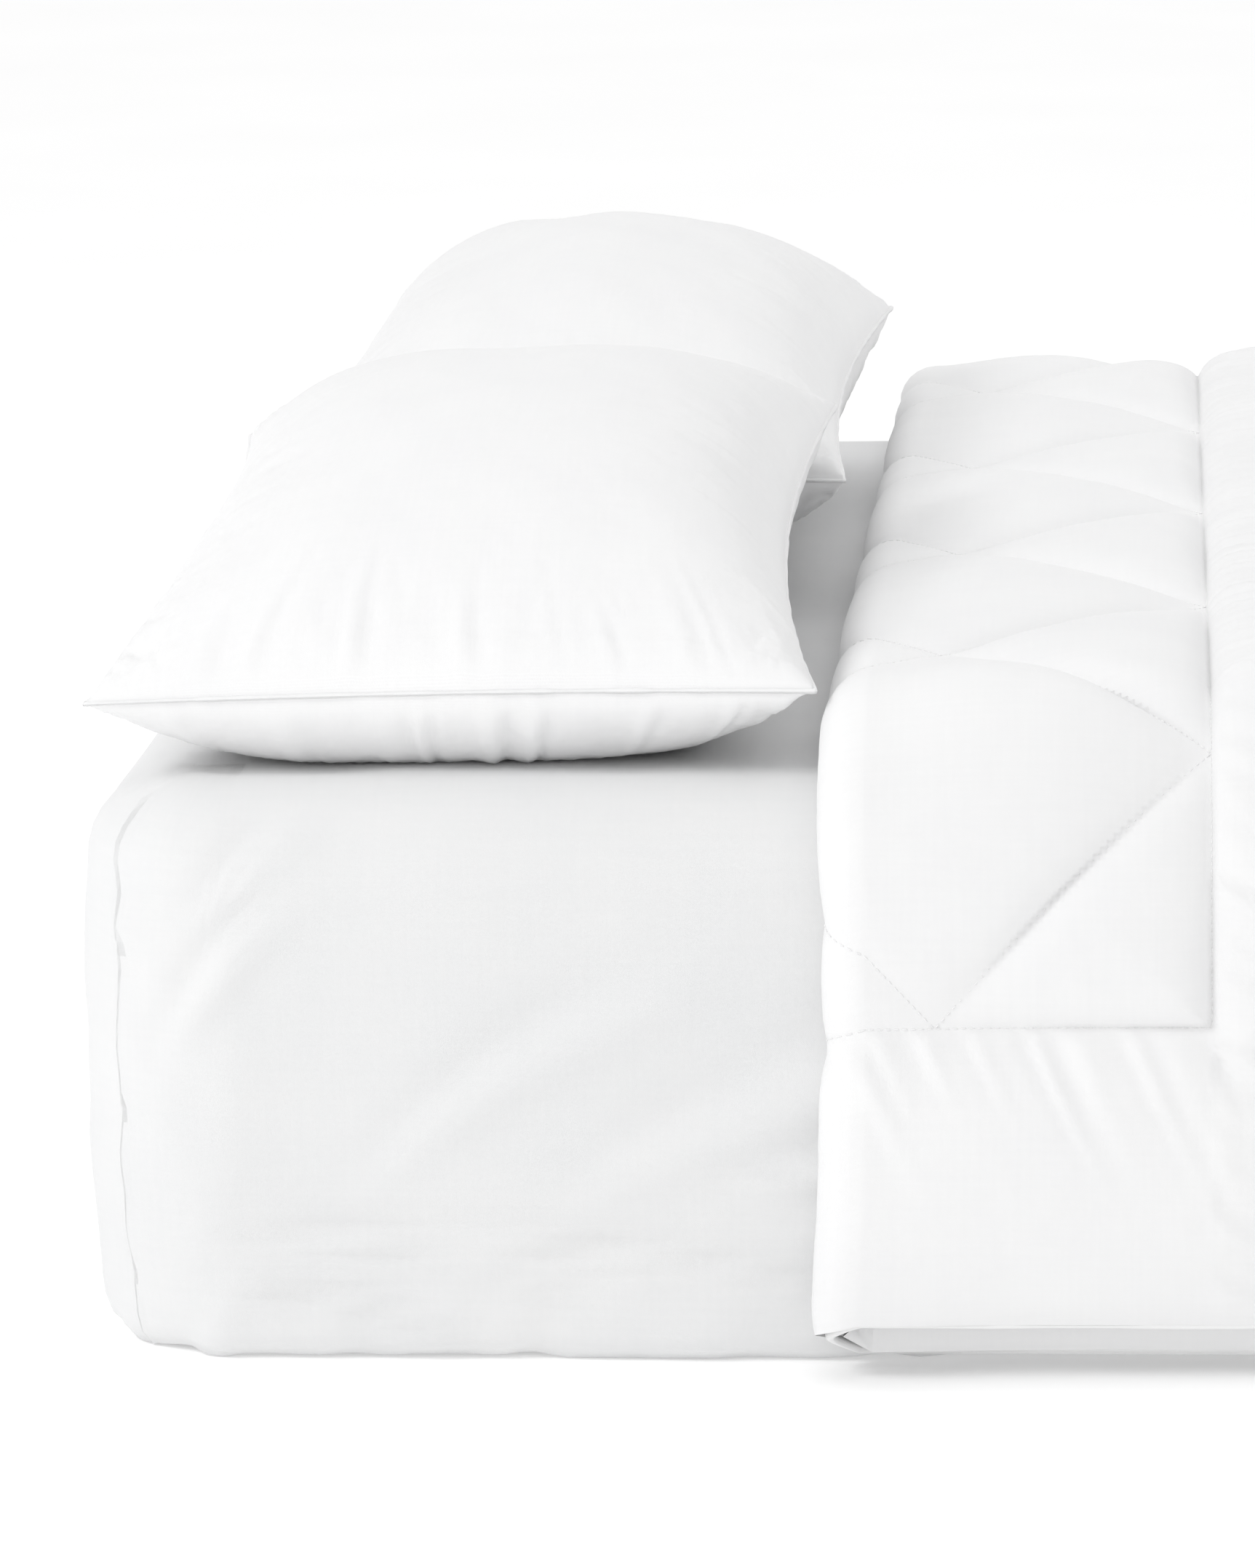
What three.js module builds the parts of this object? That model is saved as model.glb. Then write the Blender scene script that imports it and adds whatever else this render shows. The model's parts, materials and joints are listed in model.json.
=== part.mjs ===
// A duvet on a bed: a diamond-quilted duvet, its head end turned back, over a deep mattress in a
// fitted sheet, with two pillows. Millimetres, +Z up, +X from the head to the foot, +Y to the far
// side. The origin is the middle of the mattress's underside, which stands on the floor.
import * as THREE from 'three';

// ---- driving sizes -----------------------------------------------------------------------
const bed = { length: 2000, width: 1400, height: 357, cornerRadius: 90, topEdge: 55, bottomEdge: 24 };
const cloth = { sheet: 1.6, ticking: 6, case: 2, pillowTicking: 1.5, duvet: 1.5 };
const gap = 0.4;                      // air between pieces that touch
const lip = { width: 150, elastic: 8 };         // the fitted sheet's turned-under edge
const layers = { basePanel: 3, baseFoam: 27, insulator: 5, supportFoam: 63, topPanel: 12 };
const coil = { rows: 18, perRow: 12, pinch: 0.32 };
const railWidth = 75;
const tapeWidth = 9.5;
const duvet = {
  width: 2195, length: 2195, thickness: 28, cornerRadius: 170,
  foldFromHead: 449, flap: 422, clearance: 3, layerGap: 3,
  lowerWrap: 104, flapWrap: 120, cornerLean: 0.62, piping: 4, pipingGap: 2,
};
// Each pillow by its four seam corners, near the head and the foot, on each side: how far from
// the head end, how far towards the far side, and how high above the bed.
const pillowNear = {
  head: { near: [0, -670, 50], far: [32, -112, 128] },
  foot: { near: [447, -670, 56], far: [434, -88, 142] },
  thick: 104, waist: 0.12, ends: 0.03,
};
const pillowFar = {
  head: { near: [50, -92, 95], far: [58, 558, 121] },
  foot: { near: [440, -100, 92], far: [448, 558, 121] },
  thick: 112, waist: 0.1, ends: 0.03,
};
const pillowGap = 10;                 // air between the two pillows where one lies on the other
const pillowClearance = 4;            // case to ticking, and ticking to filling
const pillowInset = 16;               // how far each inner layer stops short of the one round it

const colours = {
  sheet: 0xf2f1ee, duvet: 0xf6f6f4, piping: 0xfafaf8, pillow: 0xf4f4f2, inner: 0xe9e6de,
  foam: 0xe8dfc6, coils: 0xd8dbe0, felt: 0xb9b7b0, tape: 0xdedbd3, elastic: 0xe6e6e6,
};

// ---- making solids -----------------------------------------------------------------------
const group = new THREE.Group();

function signedVolume(points, faces) {
  let sum = 0;
  const [a, b, c] = [new THREE.Vector3(), new THREE.Vector3(), new THREE.Vector3()];
  for (const [i, j, k] of faces) {
    a.fromArray(points[i]); b.fromArray(points[j]); c.fromArray(points[k]);
    sum += a.dot(b.cross(c));
  }
  return sum / 6;
}

function solid(points, faces) {
  const outward = signedVolume(points, faces) > 0 ? faces : faces.map(([i, j, k]) => [i, k, j]);
  const geometry = new THREE.BufferGeometry();
  geometry.setAttribute('position', new THREE.Float32BufferAttribute(points.flat(), 3));
  geometry.setIndex(outward.flat());
  geometry.computeVertexNormals();
  return geometry;
}

function addPart(name, geometry, colour, roughness = 0.9) {
  const material = new THREE.MeshStandardMaterial({ color: colour, roughness, metalness: 0 });
  const mesh = new THREE.Mesh(geometry, material);
  mesh.name = name;
  group.add(mesh);
  return mesh;
}

const quad = (a, b, c, d) => [[a, b, c], [a, c, d]];
const steps = (count, make) => Array.from({ length: count + 1 }, (_, i) => make(i / count));

// ---- rounded-box rings: one loop round the bed's plan, a set distance in from its side -----
const arcSteps = 4;
const sharpest = 4;                   // smallest corner radius of any loop

function planLoop(inset) {
  const radius = Math.max(bed.cornerRadius - inset, sharpest);
  const x = bed.length / 2 - inset - radius;
  const y = bed.width / 2 - inset - radius;
  const corners = [[x, y], [-x, y], [-x, -y], [x, -y]];
  return corners.flatMap(([cx, cy], corner) => steps(arcSteps, (t) => {
    const angle = (corner + t) * Math.PI / 2;
    return [cx + radius * Math.cos(angle), cy + radius * Math.sin(angle)];
  }));
}

// A profile of [inset, z] points carried round the plan; capped ones close over the middle.
function ringSolid(profile, capped) {
  const points = [];
  const loops = profile.map(([inset, z]) => planLoop(inset).map(([x, y]) => points.push([x, y, z]) - 1));
  const count = loops[0].length;
  const faces = [];
  const last = capped ? loops.length - 1 : loops.length;
  for (let i = 0; i < last; i += 1) {
    const low = loops[i];
    const high = loops[(i + 1) % loops.length];
    for (let k = 0; k < count; k += 1) {
      const next = (k + 1) % count;
      faces.push(...quad(low[k], low[next], high[next], high[k]));
    }
  }
  if (capped) {
    const first = points.push([0, 0, profile[0][1]]) - 1;
    const final = points.push([0, 0, profile[profile.length - 1][1]]) - 1;
    for (let k = 0; k < count; k += 1) {
      const next = (k + 1) % count;
      faces.push([first, loops[0][next], loops[0][k]], [final, loops.at(-1)[k], loops.at(-1)[next]]);
    }
  }
  return solid(points, faces);
}

const lowerArc = (inset, z, radius) => steps(arcSteps, (t) => [
  inset + radius * (1 - Math.sin(t * Math.PI / 2)), z + radius * (1 - Math.cos(t * Math.PI / 2))]);
const upperArc = (inset, z, wide, high) => steps(arcSteps, (t) => [
  inset + wide * (1 - Math.cos(t * Math.PI / 2)), z - high * (1 - Math.sin(t * Math.PI / 2))]);
const slab = (inset, low, high) => ringSolid([[inset, low], [inset, high]], true);

// ---- fitted sheet and its elastic ---------------------------------------------------------
function makeFittedSheet() {
  const t = cloth.sheet;
  const outside = [...lowerArc(0, 0, bed.bottomEdge), ...upperArc(0, bed.height, bed.topEdge, bed.topEdge)];
  const inside = [
    ...lowerArc(t, t, bed.bottomEdge - t),
    ...upperArc(t, bed.height - t, bed.topEdge - t, bed.topEdge - t),
  ];
  const edge = [[lip.width, t], [lip.width, 0]];
  addPart('fitted_sheet', ringSolid([...inside.reverse(), ...edge, ...outside], true), colours.sheet);
  const start = lip.width + gap;
  const section = [[start + lip.elastic, 0], [start, 0], [start, t], [start + lip.elastic, t]];
  addPart('sheet_elastic', ringSolid(section, false), colours.elastic);
}

// ---- mattress -----------------------------------------------------------------------------
const skin = cloth.sheet + gap;       // from the bed's outside to the mattress's outside
const wall = skin + cloth.ticking;    // to the inside of the mattress's border
const room = wall + gap;              // to the foam inside it
const mattressTop = bed.height - skin;
const crownBase = bed.height - bed.topEdge;     // where the rounded top edge starts
const tapeInset = bed.bottomEdge + gap;
const panelInset = tapeInset + tapeWidth / 2 + gap;
const baseFoamBottom = skin + layers.basePanel + gap;
const baseFoamTop = baseFoamBottom + layers.baseFoam;
const coilsLow = baseFoamTop + gap;
const coilHeight = crownBase - layers.supportFoam - layers.insulator - 2 * gap - coilsLow;

function makeMattressCover() {
  const recess = lip.width + lip.elastic + 3 * gap;
  const panelTop = skin + layers.basePanel;
  const base = [[recess, 0], [recess, skin], [panelInset, skin], [panelInset, panelTop]];
  addPart('mattress_base_panel', ringSolid(base, true), colours.inner);
  const tapeTop = skin + cloth.ticking;
  const tapeOuter = tapeInset + tapeWidth / 2;
  const lowerTape = [[tapeOuter, skin], [tapeInset, skin], [tapeInset, tapeTop], [tapeOuter, tapeTop]];
  addPart('mattress_lower_tape', ringSolid(lowerTape, false), colours.tape);

  const tapeLow = crownBase - tapeWidth - gap;
  const radius = bed.bottomEdge - skin;
  const outside = [...lowerArc(skin, skin, radius), [skin, tapeLow - gap]];
  const inside = [[wall, tapeLow - gap], ...lowerArc(wall, wall, radius - cloth.ticking).reverse()];
  addPart('mattress_border', ringSolid([...outside, ...inside], false), colours.inner);
  const upperTape = [[wall, tapeLow], [skin, tapeLow], [skin, tapeLow + tapeWidth], [wall, tapeLow + tapeWidth]];
  addPart('mattress_upper_tape', ringSolid(upperTape, false), colours.tape);

  const wide = bed.topEdge - skin;
  const over = upperArc(skin, mattressTop, wide, wide);
  const under = upperArc(wall, mattressTop - layers.topPanel, wide - cloth.ticking, wide - layers.topPanel);
  addPart('mattress_top_panel', ringSolid([...under.reverse(), ...over], true), colours.inner);
}

function makeRails(low) {
  const outer = planLoop(room);
  const innerX = bed.length / 2 - room - railWidth;
  const innerY = bed.width / 2 - room - railWidth;
  const inner = [[innerX, innerY], [-innerX, innerY], [-innerX, -innerY], [innerX, -innerY]];
  const middle = arcSteps / 2;
  const perCorner = arcSteps + 1;
  ['far', 'head', 'near', 'foot'].forEach((name, side) => {
    const from = side * perCorner + middle;
    const outline = [];
    for (let k = from; k <= from + perCorner; k += 1) outline.push(outer[k % outer.length]);
    outline.push(inner[(side + 1) % inner.length], inner[side]);
    const alongX = side % 2 === 0;
    const trimmed = outline.map(([x, y]) => (alongX ? [x - Math.sign(x) * gap, y] : [x, y - Math.sign(y) * gap]));
    const shape = new THREE.Shape(trimmed.map(([x, y]) => new THREE.Vector2(x, y)));
    const geometry = new THREE.ExtrudeGeometry(shape, { depth: coilHeight, bevelEnabled: false });
    addPart(`edge_rail_${name}`, geometry, colours.foam).position.z = low;
  });
}

// One strip of pocketed coils: six-sided pockets joined where the cloth is welded between them.
function coilRowShape(pitch, width) {
  const length = pitch * coil.perRow;
  const side = (sign) => {
    const run = [];
    for (let i = 0; i < coil.perRow; i += 1) {
      const start = -length / 2 + i * pitch;
      run.push([sign * coil.pinch * width / 2, start]);
      run.push([sign * width / 2, start + pitch / 4], [sign * width / 2, start + pitch * 3 / 4]);
    }
    run.push([sign * coil.pinch * width / 2, length / 2]);
    return run;
  };
  return new THREE.Shape([...side(1), ...side(-1).reverse()].map(([x, y]) => new THREE.Vector2(x, y)));
}

function makeCoilRows(low) {
  const inside = room + railWidth + gap;
  const pitchX = (bed.length - 2 * inside) / coil.rows;
  const pitchY = (bed.width - 2 * inside) / coil.perRow;
  const shape = coilRowShape(pitchY, pitchX - gap);
  for (let i = 0; i < coil.rows; i += 1) {
    const geometry = new THREE.ExtrudeGeometry(shape, { depth: coilHeight, bevelEnabled: false });
    const row = addPart(`coil_row_${String(i + 1).padStart(2, '0')}`, geometry, colours.coils, 0.6);
    row.position.set((i + 0.5) * pitchX - bed.length / 2 + inside, 0, low);
  }
}

function makeMattressInside() {
  const radius = bed.bottomEdge - room;
  const foot = [[panelInset + gap, baseFoamBottom], [panelInset + gap, room], ...lowerArc(room, room, radius)];
  addPart('base_foam', ringSolid([...foot, [room, baseFoamTop]], true), colours.foam);
  makeRails(coilsLow);
  makeCoilRows(coilsLow);
  const insulatorLow = coilsLow + coilHeight + gap;
  addPart('insulator_felt', slab(room, insulatorLow, insulatorLow + layers.insulator), colours.felt);
  const supportLow = insulatorLow + layers.insulator + gap;
  const supportHigh = supportLow + layers.supportFoam;
  addPart('support_foam', slab(room, supportLow, supportHigh), colours.foam);
  const top = mattressTop - layers.topPanel - gap;
  const crown = upperArc(room, top, bed.topEdge - room, top - supportHigh - 2 * gap);
  addPart('comfort_foam', ringSolid([[room, supportHigh + gap], ...crown], true), colours.foam);
}

// ---- duvet --------------------------------------------------------------------------------
const flatX = bed.length / 2 - bed.topEdge;     // the bed's top is flat out to here
const flatY = bed.width / 2 - bed.topEdge;
const lowerMiddle = duvet.clearance + duvet.thickness / 2;
const bend = (duvet.thickness + duvet.layerGap) / 2;
const foldX = duvet.foldFromHead - bed.length / 2;
const foldCentreX = foldX + bend + duvet.thickness / 2;
const flapRun = foldX + duvet.flap - foldCentreX;
const bendRun = Math.PI * bend;
const footStart = flapRun + bendRun + flatX - foldCentreX;

// Lays the point (x, y) of a flat cloth over the bed's edge, off millimetres outside the sheet.
function drape(x, y, wrap, off) {
  const pastX = Math.max(0, x - flatX);
  const pastY = Math.max(0, Math.abs(y) - flatY);
  const run = Math.hypot(pastX, pastY);
  if (run === 0) return [x, y, bed.height + off];
  const turn = Math.min(run / wrap, Math.PI / 2);
  const drop = Math.max(0, run - wrap * Math.PI / 2);
  const lean = duvet.cornerLean * Math.sin(2 * Math.atan2(pastX, pastY));
  const radius = bed.topEdge + off;
  const out = radius * Math.sin(turn) + drop * Math.sin(lean);
  const down = radius * (1 - Math.cos(turn)) + drop * Math.cos(lean);
  return [
    Math.min(x, flatX) + out * pastX / run,
    Math.sign(y) * (Math.min(Math.abs(y), flatY) + out * pastY / run),
    bed.height + off - down,
  ];
}

// A point of the duvet: s along it from the turned-back hem, v across it, w towards its face.
function onDuvet(s, v, w) {
  const past = s - flapRun;
  if (past <= 0) {
    return drape(foldCentreX - past, v, duvet.flapWrap, lowerMiddle + 2 * bend - w);
  }
  if (past < bendRun) {
    const turn = past / bend;
    const wrap = duvet.flapWrap + (duvet.lowerWrap - duvet.flapWrap) * turn / Math.PI;
    const x = foldCentreX - (bend - w) * Math.sin(turn);
    return drape(x, v, wrap, lowerMiddle + bend + (bend - w) * Math.cos(turn));
  }
  return drape(foldCentreX + past - bendRun, v, duvet.lowerWrap, lowerMiddle + w);
}

// Rounds the flat duvet's corners: the corner squares of the grid become quarter discs.
function roundCorner(s, v) {
  const r = duvet.cornerRadius;
  const middle = duvet.length / 2;
  const pastS = Math.max(0, Math.abs(s - middle) - (middle - r)) / r;
  const pastV = Math.max(0, Math.abs(v) - (duvet.width / 2 - r)) / r;
  if (pastS === 0 || pastV === 0) return [s, v];
  const nearS = pastS * Math.sqrt(1 - pastV ** 2 / 2);
  const nearV = pastV * Math.sqrt(1 - pastS ** 2 / 2);
  return [middle + Math.sign(s - middle) * (middle - r + nearS * r),
    Math.sign(v) * (duvet.width / 2 - r + nearV * r)];
}

const closest = 5;                    // grid lines nearer than this are one line

function sortedLines(values) {
  const kept = [];
  const last = Math.max(...values);
  for (const value of values.sort((a, b) => a - b)) {
    if (kept.length === 0 || value === last) kept.push(value);
    else if (value - kept.at(-1) > closest && last - value > closest) kept.push(value);
  }
  return kept;
}

function duvetLines() {
  const r = duvet.cornerRadius;
  const footWrap = duvet.lowerWrap * Math.PI / 2;
  const along = [
    0, r / 2, r, ...steps(6, (t) => flapRun + t * bendRun),
    ...steps(4, (t) => footStart + t * footWrap), duvet.length - r, duvet.length - r / 2, duvet.length,
  ];
  const half = duvet.width / 2;
  const hang = steps(3, (t) => flatY + footWrap + t * (half - r - flatY - footWrap));
  const side = [...steps(4, (t) => flatY + t * footWrap), ...hang, half - r / 2, half];
  const within = (lines, end) => lines.filter((value) => value <= end);
  const across = within(side, half);
  return [sortedLines(within(along, duvet.length)), sortedLines([...across.map((value) => -value), ...across])];
}

// A closed slab between two surfaces given on the same grid.
function gridSolid(us, vs, low, high) {
  const points = [];
  const index = [low, high].map((surface) => us.map((u) => vs.map((v) => points.push(surface(u, v)) - 1)));
  const faces = [];
  const [nu, nv] = [us.length - 1, vs.length - 1];
  for (let i = 0; i < nu; i += 1) {
    for (let j = 0; j < nv; j += 1) {
      const [a, b] = index;
      faces.push(...quad(a[i][j], a[i][j + 1], a[i + 1][j + 1], a[i + 1][j]));
      faces.push(...quad(b[i][j], b[i + 1][j], b[i + 1][j + 1], b[i][j + 1]));
    }
  }
  for (const [i, j, di, dj, count] of [[0, 0, 1, 0, nu], [nu, 0, 0, 1, nv], [nu, nv, -1, 0, nu], [0, nv, 0, -1, nv]]) {
    for (let k = 0; k < count; k += 1) {
      const [p, q] = [[i + di * k, j + dj * k], [i + di * (k + 1), j + dj * (k + 1)]];
      const at = (layer, [m, n]) => index[layer][m][n];
      faces.push(...quad(at(0, p), at(0, q), at(1, q), at(1, p)));
    }
  }
  return solid(points, faces);
}

function duvetLayer(name, low, high, colour) {
  const [along, across] = duvetLines();
  const surface = (w) => (s, v) => onDuvet(...roundCorner(s, v), w);
  addPart(name, gridSolid(along, across, surface(low), surface(high)), colour);
}

// The corded edge: a square section carried round the duvet's outline.
function makePiping() {
  const [along, across] = duvetLines();
  const [half, end] = [across.at(-1), along.at(-1)];
  const outline = [
    ...along.map((s) => [s, -half]), ...across.slice(1).map((v) => [end, v]),
    ...along.slice(0, -1).reverse().map((s) => [s, half]), ...across.slice(1, -1).reverse().map((v) => [0, v]),
  ].map(([s, v]) => roundCorner(s, v));
  const points = [];
  const loops = outline.map(([s, v], i) => {
    const [before, after] = [outline.at(i - 1), outline[(i + 1) % outline.length]];
    const run = new THREE.Vector2(after[0] - before[0], after[1] - before[1]).normalize();
    const thick = duvet.piping / 2;
    const [near, far] = [duvet.pipingGap, duvet.pipingGap + duvet.piping];
    return [[near, -thick], [far, -thick], [far, thick], [near, thick]]
      .map(([out, w]) => points.push(onDuvet(s + run.y * out, v - run.x * out, w)) - 1);
  });
  const faces = [];
  loops.forEach((loop, i) => {
    const next = loops[(i + 1) % loops.length];
    for (let k = 0; k < 4; k += 1) {
      const m = (k + 1) % 4;
      faces.push(...quad(loop[k], loop[m], next[m], next[k]));
    }
  });
  addPart('duvet_piping', solid(points, faces), colours.piping, 0.8);
}

function makeDuvet() {
  const half = duvet.thickness / 2;
  duvetLayer('duvet_face_cloth', half - cloth.duvet, half, colours.duvet);
  duvetLayer('duvet_filling', -half + cloth.duvet + gap, half - cloth.duvet - gap, colours.inner);
  duvetLayer('duvet_back_cloth', -half, -half + cloth.duvet, colours.duvet);
  makePiping();
}

// ---- pillows ------------------------------------------------------------------------------
const crown = (u, v) => Math.sqrt((1 - Math.abs(u) ** 2.4) * (1 - Math.abs(v) ** 2.4));

// The seam plane at (u, v): u from head to foot, v from near to far, each -1 to 1; the sides
// of a filled pillow pull in between its corners.
function seamPoint(p, u, v) {
  const across = (1 + u * (1 - p.waist * (1 - v * v))) / 2;
  const along = (1 + v * (1 - p.ends * (1 - u * u))) / 2;
  const mix = (a, b, t) => a.map((value, i) => value + (b[i] - value) * t);
  const [x, y, z] = mix(mix(p.head.near, p.foot.near, across), mix(p.head.far, p.foot.far, across), along);
  return [x - bed.length / 2, y, z + bed.height];
}
const halfSize = (p) => [(p.foot.near[0] - p.head.near[0]) / 2, (p.head.far[1] - p.head.near[1]) / 2];

// The inside of a pillow's case at (u, v): its floor and its ceiling.
function caseInside(p, rest, u, v) {
  const rise = p.thick * crown(u, v) + gap / 2;
  const [x, y, seam] = seamPoint(p, u, v);
  const floor = Math.max(seam - rise, rest(x, y) + cloth.case);
  return [floor, Math.max(seam + rise, floor + 2 * gap)];
}

const onBed = () => bed.height + gap;

// What the near pillow rests on: the bed, and the front of the far pillow where it reaches it.
function onFarPillow(x, y) {
  const p = pillowFar;
  const [halfX, halfY] = halfSize(p);
  const clamp = (value) => Math.max(-1, Math.min(1, value));
  let [u, v] = [0, 0];
  for (let i = 0; i < 8; i += 1) {
    const [atX, atY] = seamPoint(p, u, v);
    u = clamp(u + (x - atX) / halfX);
    v = clamp(v + (y - atY) / halfY);
  }
  const [edgeX, edgeY] = seamPoint(p, u, v);
  const share = Math.max(0, 1 - Math.hypot(x - edgeX, y - edgeY) / p.thick);
  const top = caseInside(p, onBed, u, v)[1] + cloth.case + pillowGap;
  return onBed() + (top - onBed()) * share;
}

function makePillow(name, p, rest) {
  const lines = steps(8, (t) => Math.sin((t - 0.5) * Math.PI));
  const at = (u, v, z) => [...seamPoint(p, u, v).slice(0, 2), z];
  const inside = (u, v) => caseInside(p, rest, u, v);
  const build = (part, scale, low, high, colour) => {
    const place = (height) => (u, v) => at(u * scale[0], v * scale[1], height(u, v));
    addPart(`${name}_${part}`, gridSolid(lines, lines, place(low), place(high)), colour);
  };
  const whole = [1, 1];
  build('case_bottom', whole, (u, v) => inside(u, v)[0] - cloth.case, (u, v) => inside(u, v)[0], colours.pillow);
  build('case_top', whole, (u, v) => inside(u, v)[1], (u, v) => inside(u, v)[1] + cloth.case, colours.pillow);

  // Each inner layer closes to its own seam: taper is 1 inside and 0 along that seam.
  const taper = (u, v) => Math.sqrt(1 - Math.max(Math.abs(u), Math.abs(v)) ** 8);
  const shrink = (layer) => halfSize(p).map((half) => 1 - layer * pillowInset / half);
  const middle = (scale) => (u, v) => {
    const [low, high] = inside(u * scale[0], v * scale[1]);
    return (low + high) / 2;
  };
  const swell = (scale, less) => (u, v) => {
    const [low, high] = inside(u * scale[0], v * scale[1]);
    return Math.max(0, (high - low) / 2 - less) * taper(u, v);
  };
  const bag = shrink(1);
  const bagMiddle = middle(bag);
  const bagSwell = swell(bag, pillowClearance + cloth.pillowTicking + gap);
  const t = cloth.pillowTicking;
  build('ticking_bottom', bag, (u, v) => bagMiddle(u, v) - bagSwell(u, v) - gap / 2 - t,
    (u, v) => bagMiddle(u, v) - bagSwell(u, v) - gap / 2, colours.inner);
  build('ticking_top', bag, (u, v) => bagMiddle(u, v) + bagSwell(u, v) + gap / 2,
    (u, v) => bagMiddle(u, v) + bagSwell(u, v) + gap / 2 + t, colours.inner);

  const core = shrink(2);
  const coreMiddle = middle(core);
  const coreSwell = swell(core, 2.5 * pillowClearance + cloth.pillowTicking);
  build('filling', core, (u, v) => coreMiddle(u, v) - coreSwell(u, v) - t,
    (u, v) => coreMiddle(u, v) + coreSwell(u, v) + t, colours.inner);
}

makeMattressCover();
makeMattressInside();
makeFittedSheet();
makeDuvet();
makePillow('pillow_far', pillowFar, onBed);
makePillow('pillow_near', pillowNear, onFarPillow);

export default group;
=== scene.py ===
# %% [markdown]
# # A duvet on a bed
# This lesson dresses a plain model of a bed. The plain model gives every place and size: a deep
# mattress, two pillows, and a quilted duvet whose head end is turned back. Here each soft piece is
# made again as real cloth: puffed between its seams, gathered where it is sewn, and creased where
# it bends. Everything is in metres, with +X from the head to the foot and +Z up.

# %% Load the plain model
import json
import math
import bpy
import numpy as np
from mathutils import Matrix, Vector

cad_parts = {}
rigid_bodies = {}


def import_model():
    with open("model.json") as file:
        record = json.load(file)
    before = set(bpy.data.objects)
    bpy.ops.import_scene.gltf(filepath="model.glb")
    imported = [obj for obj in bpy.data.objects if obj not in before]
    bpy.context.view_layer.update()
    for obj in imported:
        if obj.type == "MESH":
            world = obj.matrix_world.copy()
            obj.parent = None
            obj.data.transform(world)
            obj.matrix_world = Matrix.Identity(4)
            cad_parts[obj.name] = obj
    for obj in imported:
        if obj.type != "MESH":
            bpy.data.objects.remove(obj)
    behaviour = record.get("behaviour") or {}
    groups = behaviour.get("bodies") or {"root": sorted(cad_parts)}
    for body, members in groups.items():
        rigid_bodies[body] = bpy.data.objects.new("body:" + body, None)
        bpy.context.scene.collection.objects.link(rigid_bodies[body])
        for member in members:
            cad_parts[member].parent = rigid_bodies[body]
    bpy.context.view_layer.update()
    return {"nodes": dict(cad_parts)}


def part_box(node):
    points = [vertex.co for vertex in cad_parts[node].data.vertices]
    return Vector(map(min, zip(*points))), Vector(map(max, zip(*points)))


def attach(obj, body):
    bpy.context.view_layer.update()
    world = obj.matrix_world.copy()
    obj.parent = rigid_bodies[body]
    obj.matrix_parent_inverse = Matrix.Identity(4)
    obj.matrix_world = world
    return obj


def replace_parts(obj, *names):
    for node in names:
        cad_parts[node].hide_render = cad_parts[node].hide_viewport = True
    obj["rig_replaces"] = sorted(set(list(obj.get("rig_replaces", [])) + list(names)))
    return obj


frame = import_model()

# %% [markdown]
# ## The camera and the light
# A long lens, a few metres away and a little above the mattress, keeps the far edge of the bed from
# shrinking. The light is what makes white cloth on a white ground readable: one broad soft light from
# the head end and the front, a weaker one to fill, and a white room round it all. One bright lamp
# would burn out the cloth. The room lights the bed a little less than it shows behind it.

# %% Place the camera
camera = bpy.data.objects.new("camera", bpy.data.cameras.new("camera"))
bpy.context.scene.collection.objects.link(camera)
camera.data.lens = 157.6
camera.data.clip_end = 60
turned, tilted, rolled = (math.radians(a) for a in (4.53, 11.75, -1.112))
aim = Matrix.Rotation(turned, 4, "Z") @ Matrix.Rotation(math.pi / 2 - tilted, 4, "X")
camera.matrix_world = (Matrix.Translation((-0.3446, -4.7537, 1.2081)) @ aim
                       @ Matrix.Rotation(rolled, 4, "Z"))
bpy.context.scene.camera = camera
print("the camera stands", round(-camera.matrix_world.translation.y, 2), "m from the middle")

# %% Light the room
def soft_light(name, place, target, size, power):
    lamp = bpy.data.lights.new(name, "AREA")
    lamp.shape, lamp.size, lamp.energy = "DISK", size, power
    holder = bpy.data.objects.new(name, lamp)
    holder.location = place
    holder.rotation_euler = (Vector(target) - Vector(place)).to_track_quat("-Z", "Y").to_euler()
    bpy.context.scene.collection.objects.link(holder)


soft_light("window", (-3.0, -2.2, 2.6), (-0.3, -0.2, 0.3), 1.2, 36)
soft_light("overhead", (0.2, 1.2, 3.2), (-0.2, 0.0, 0.3), 2.2, 15)
room = bpy.data.worlds.new("white_room")
room.use_nodes = True
tree = room.node_tree
lit, seen = tree.nodes["Background"], tree.nodes.new("ShaderNodeBackground")
for shade, strength in ((lit, 0.83), (seen, 1.0)):
    shade.inputs["Color"].default_value = (1, 1, 1, 1)
    shade.inputs["Strength"].default_value = strength
rays, choose = tree.nodes.new("ShaderNodeLightPath"), tree.nodes.new("ShaderNodeMixShader")
for source, target in ((rays.outputs["Is Camera Ray"], choose.inputs[0]),
                       (lit.outputs[0], choose.inputs[1]), (seen.outputs[0], choose.inputs[2]),
                       (choose.outputs[0], tree.nodes["World Output"].inputs[0])):
    tree.links.new(source, target)
bpy.context.scene.world = room
bpy.context.scene.view_settings.view_transform = "Standard"
print("two soft lights in a white room")

# %% [markdown]
# ## Meshes from grids
# Cloth is a grid of threads, so a grid of points is its natural mesh. Working out all the points at
# once with numpy is quick, and a wrinkle is then only a small number added to each point. Sculpting
# by hand would also do, but it can't be repeated or measured.

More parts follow.
